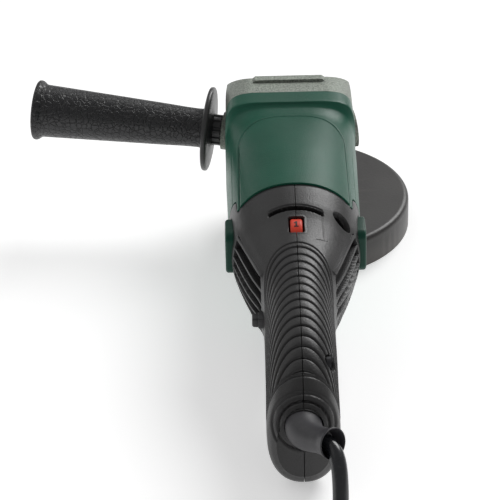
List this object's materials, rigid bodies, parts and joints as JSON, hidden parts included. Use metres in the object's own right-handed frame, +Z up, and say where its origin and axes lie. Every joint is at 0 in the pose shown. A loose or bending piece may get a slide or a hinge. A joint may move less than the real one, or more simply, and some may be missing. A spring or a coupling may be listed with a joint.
{
  "type": "angle grinder",
  "caption": "Corded angle grinder with a long rear handle, cast gear head, green motor housing, side handle and a half guard over the spindle.",
  "frame": {"origin": "centre of the spindle's free end, on the spindle axis", "axes": "+Y from the rear handle towards the gear head, +X to the operator's right, +Z up, against the spindle's free end"},
  "size_m": [0.221, 0.5627, 0.0964],
  "materials": {
    "cast_aluminium": "rough sand-cast, satin",
    "green_plastic": "moulded nylon, semi-gloss",
    "black_plastic": "fine-grained glass-filled nylon",
    "grip_plastic": "leather-textured, semi-gloss",
    "guard_steel": "satin black powder coat",
    "bright_steel": "ground and polished",
    "dark_steel": "blackened",
    "zinc_steel": "zinc plated",
    "laminated_steel": "stacked laminations",
    "copper_winding": "enamelled wire",
    "copper_bars": "turned copper",
    "brass_sheet": "stamped",
    "bronze": "sintered",
    "carbon": "pressed carbon",
    "fan_plastic": "natural nylon",
    "red_plastic": "moulded, semi-gloss",
    "switch_plastic": "moulded",
    "potting": "potted electronics",
    "white_plastic": "moulded",
    "boot_rubber": "soft, satin",
    "cord_rubber": "glossy sheath",
    "plug_rubber": "moulded, satin",
    "nickel_pins": "nickel plated"
  },
  "bodies": {
    "housing": {"gear_housing": "cast_aluminium", "gear_housing_screws": "dark_steel", "bearing_flange": "cast_aluminium", "bearing_flange_screws": "dark_steel", "spindle_bearing": "bright_steel", "spindle_bush": "bronze", "motor_housing": "green_plastic", "air_baffle": "black_plastic", "field_core": "laminated_steel", "field_windings": "copper_winding", "rear_bracket": "black_plastic", "front_bearing": "bright_steel", "rear_bearing": "bright_steel", "brush_holders": "brass_sheet", "carbon_brushes": "carbon", "brush_springs": "bright_steel", "left_brush_cover": "green_plastic", "right_brush_cover": "green_plastic", "left_handle_shell": "black_plastic", "right_handle_shell": "black_plastic", "handle_screws": "zinc_steel", "speed_controller": "potting", "switch_body": "switch_plastic", "trigger_pin": "bright_steel", "cord_clamp": "switch_plastic", "cord_clamp_screws": "zinc_steel", "cord_boot": "boot_rubber", "cord_lead": "cord_rubber", "cord_coil": "cord_rubber", "cord_tail": "cord_rubber", "plug_body": "plug_rubber", "plug_pins": "nickel_pins", "side_handle_grip": "grip_plastic", "side_handle_stud": "zinc_steel"},
    "armature": {"armature_shaft": "bright_steel", "armature_core": "laminated_steel", "armature_windings": "copper_winding", "commutator": "copper_bars", "fan": "fan_plastic", "pinion": "dark_steel", "front_race": "bright_steel", "rear_race": "bright_steel"},
    "spindle": {"spindle": "bright_steel", "spindle_race": "bright_steel", "crown_wheel": "dark_steel", "inner_flange": "zinc_steel", "flange_nut": "dark_steel"},
    "spindle_lock": {"spindle_lock_pin": "bright_steel", "spindle_lock_cap": "black_plastic", "spindle_lock_spring": "bright_steel"},
    "guard": {"guard": "guard_steel", "guard_collar": "guard_steel", "guard_clamp_screw": "zinc_steel"},
    "speed_dial": {"speed_dial": "red_plastic"},
    "trigger": {"trigger": "black_plastic"},
    "switch_plunger": {"switch_plunger": "white_plastic"},
    "lock_button": {"lock_button": "black_plastic"}
  },
  "joints": [
    {"name": "armature_spin", "type": "hinge", "parent": "housing", "child": "armature", "pos_m": [0, -0.092, 0.058], "axis": [0, 1, 0], "continuous": true},
    {"name": "spindle_spin", "type": "hinge", "parent": "housing", "child": "spindle", "pos_m": [0, 0, 0.02], "axis": [0, 0, 1], "continuous": true},
    {"name": "spindle_lock_press", "type": "slide", "parent": "housing", "child": "spindle_lock", "axis": [0, 0, -1], "range_m": [0, 0.0045], "stiffness_N_per_m": 900, "springref_m": -0.002, "deforming": ["spindle_lock_spring"]},
    {"name": "guard_turn", "type": "hinge", "parent": "housing", "child": "guard", "pos_m": [0, 0, 0.018], "axis": [0, 0, 1], "range_deg": [-95, 45]},
    {"name": "speed_dial_turn", "type": "hinge", "parent": "housing", "child": "speed_dial", "pos_m": [0, -0.161, 0.079], "axis": [1, 0, 0], "range_deg": [0, 250]},
    {"name": "trigger_pull", "type": "hinge", "parent": "housing", "child": "trigger", "pos_m": [0, -0.201, 0.028], "axis": [-1, 0, 0], "range_deg": [0, 6], "stiffness_Nm_per_rad": 1.5, "springref_deg": -5.73},
    {"name": "switch_plunger_press", "type": "slide", "parent": "housing", "child": "switch_plunger", "axis": [0, 0, 1], "range_m": [0, 0.003]},
    {"name": "lock_button_press", "type": "slide", "parent": "housing", "child": "lock_button", "axis": [1, 0, 0], "range_m": [0, 0.003], "stiffness_N_per_m": 500, "springref_m": -0.002}
  ],
  "couplings": [
    {"joint": "spindle_spin", "follows": "armature_spin", "ratio": -0.32432},
    {"joint": "switch_plunger_press", "follows": "trigger_pull", "m_per_rad": 0.025}
  ]
}
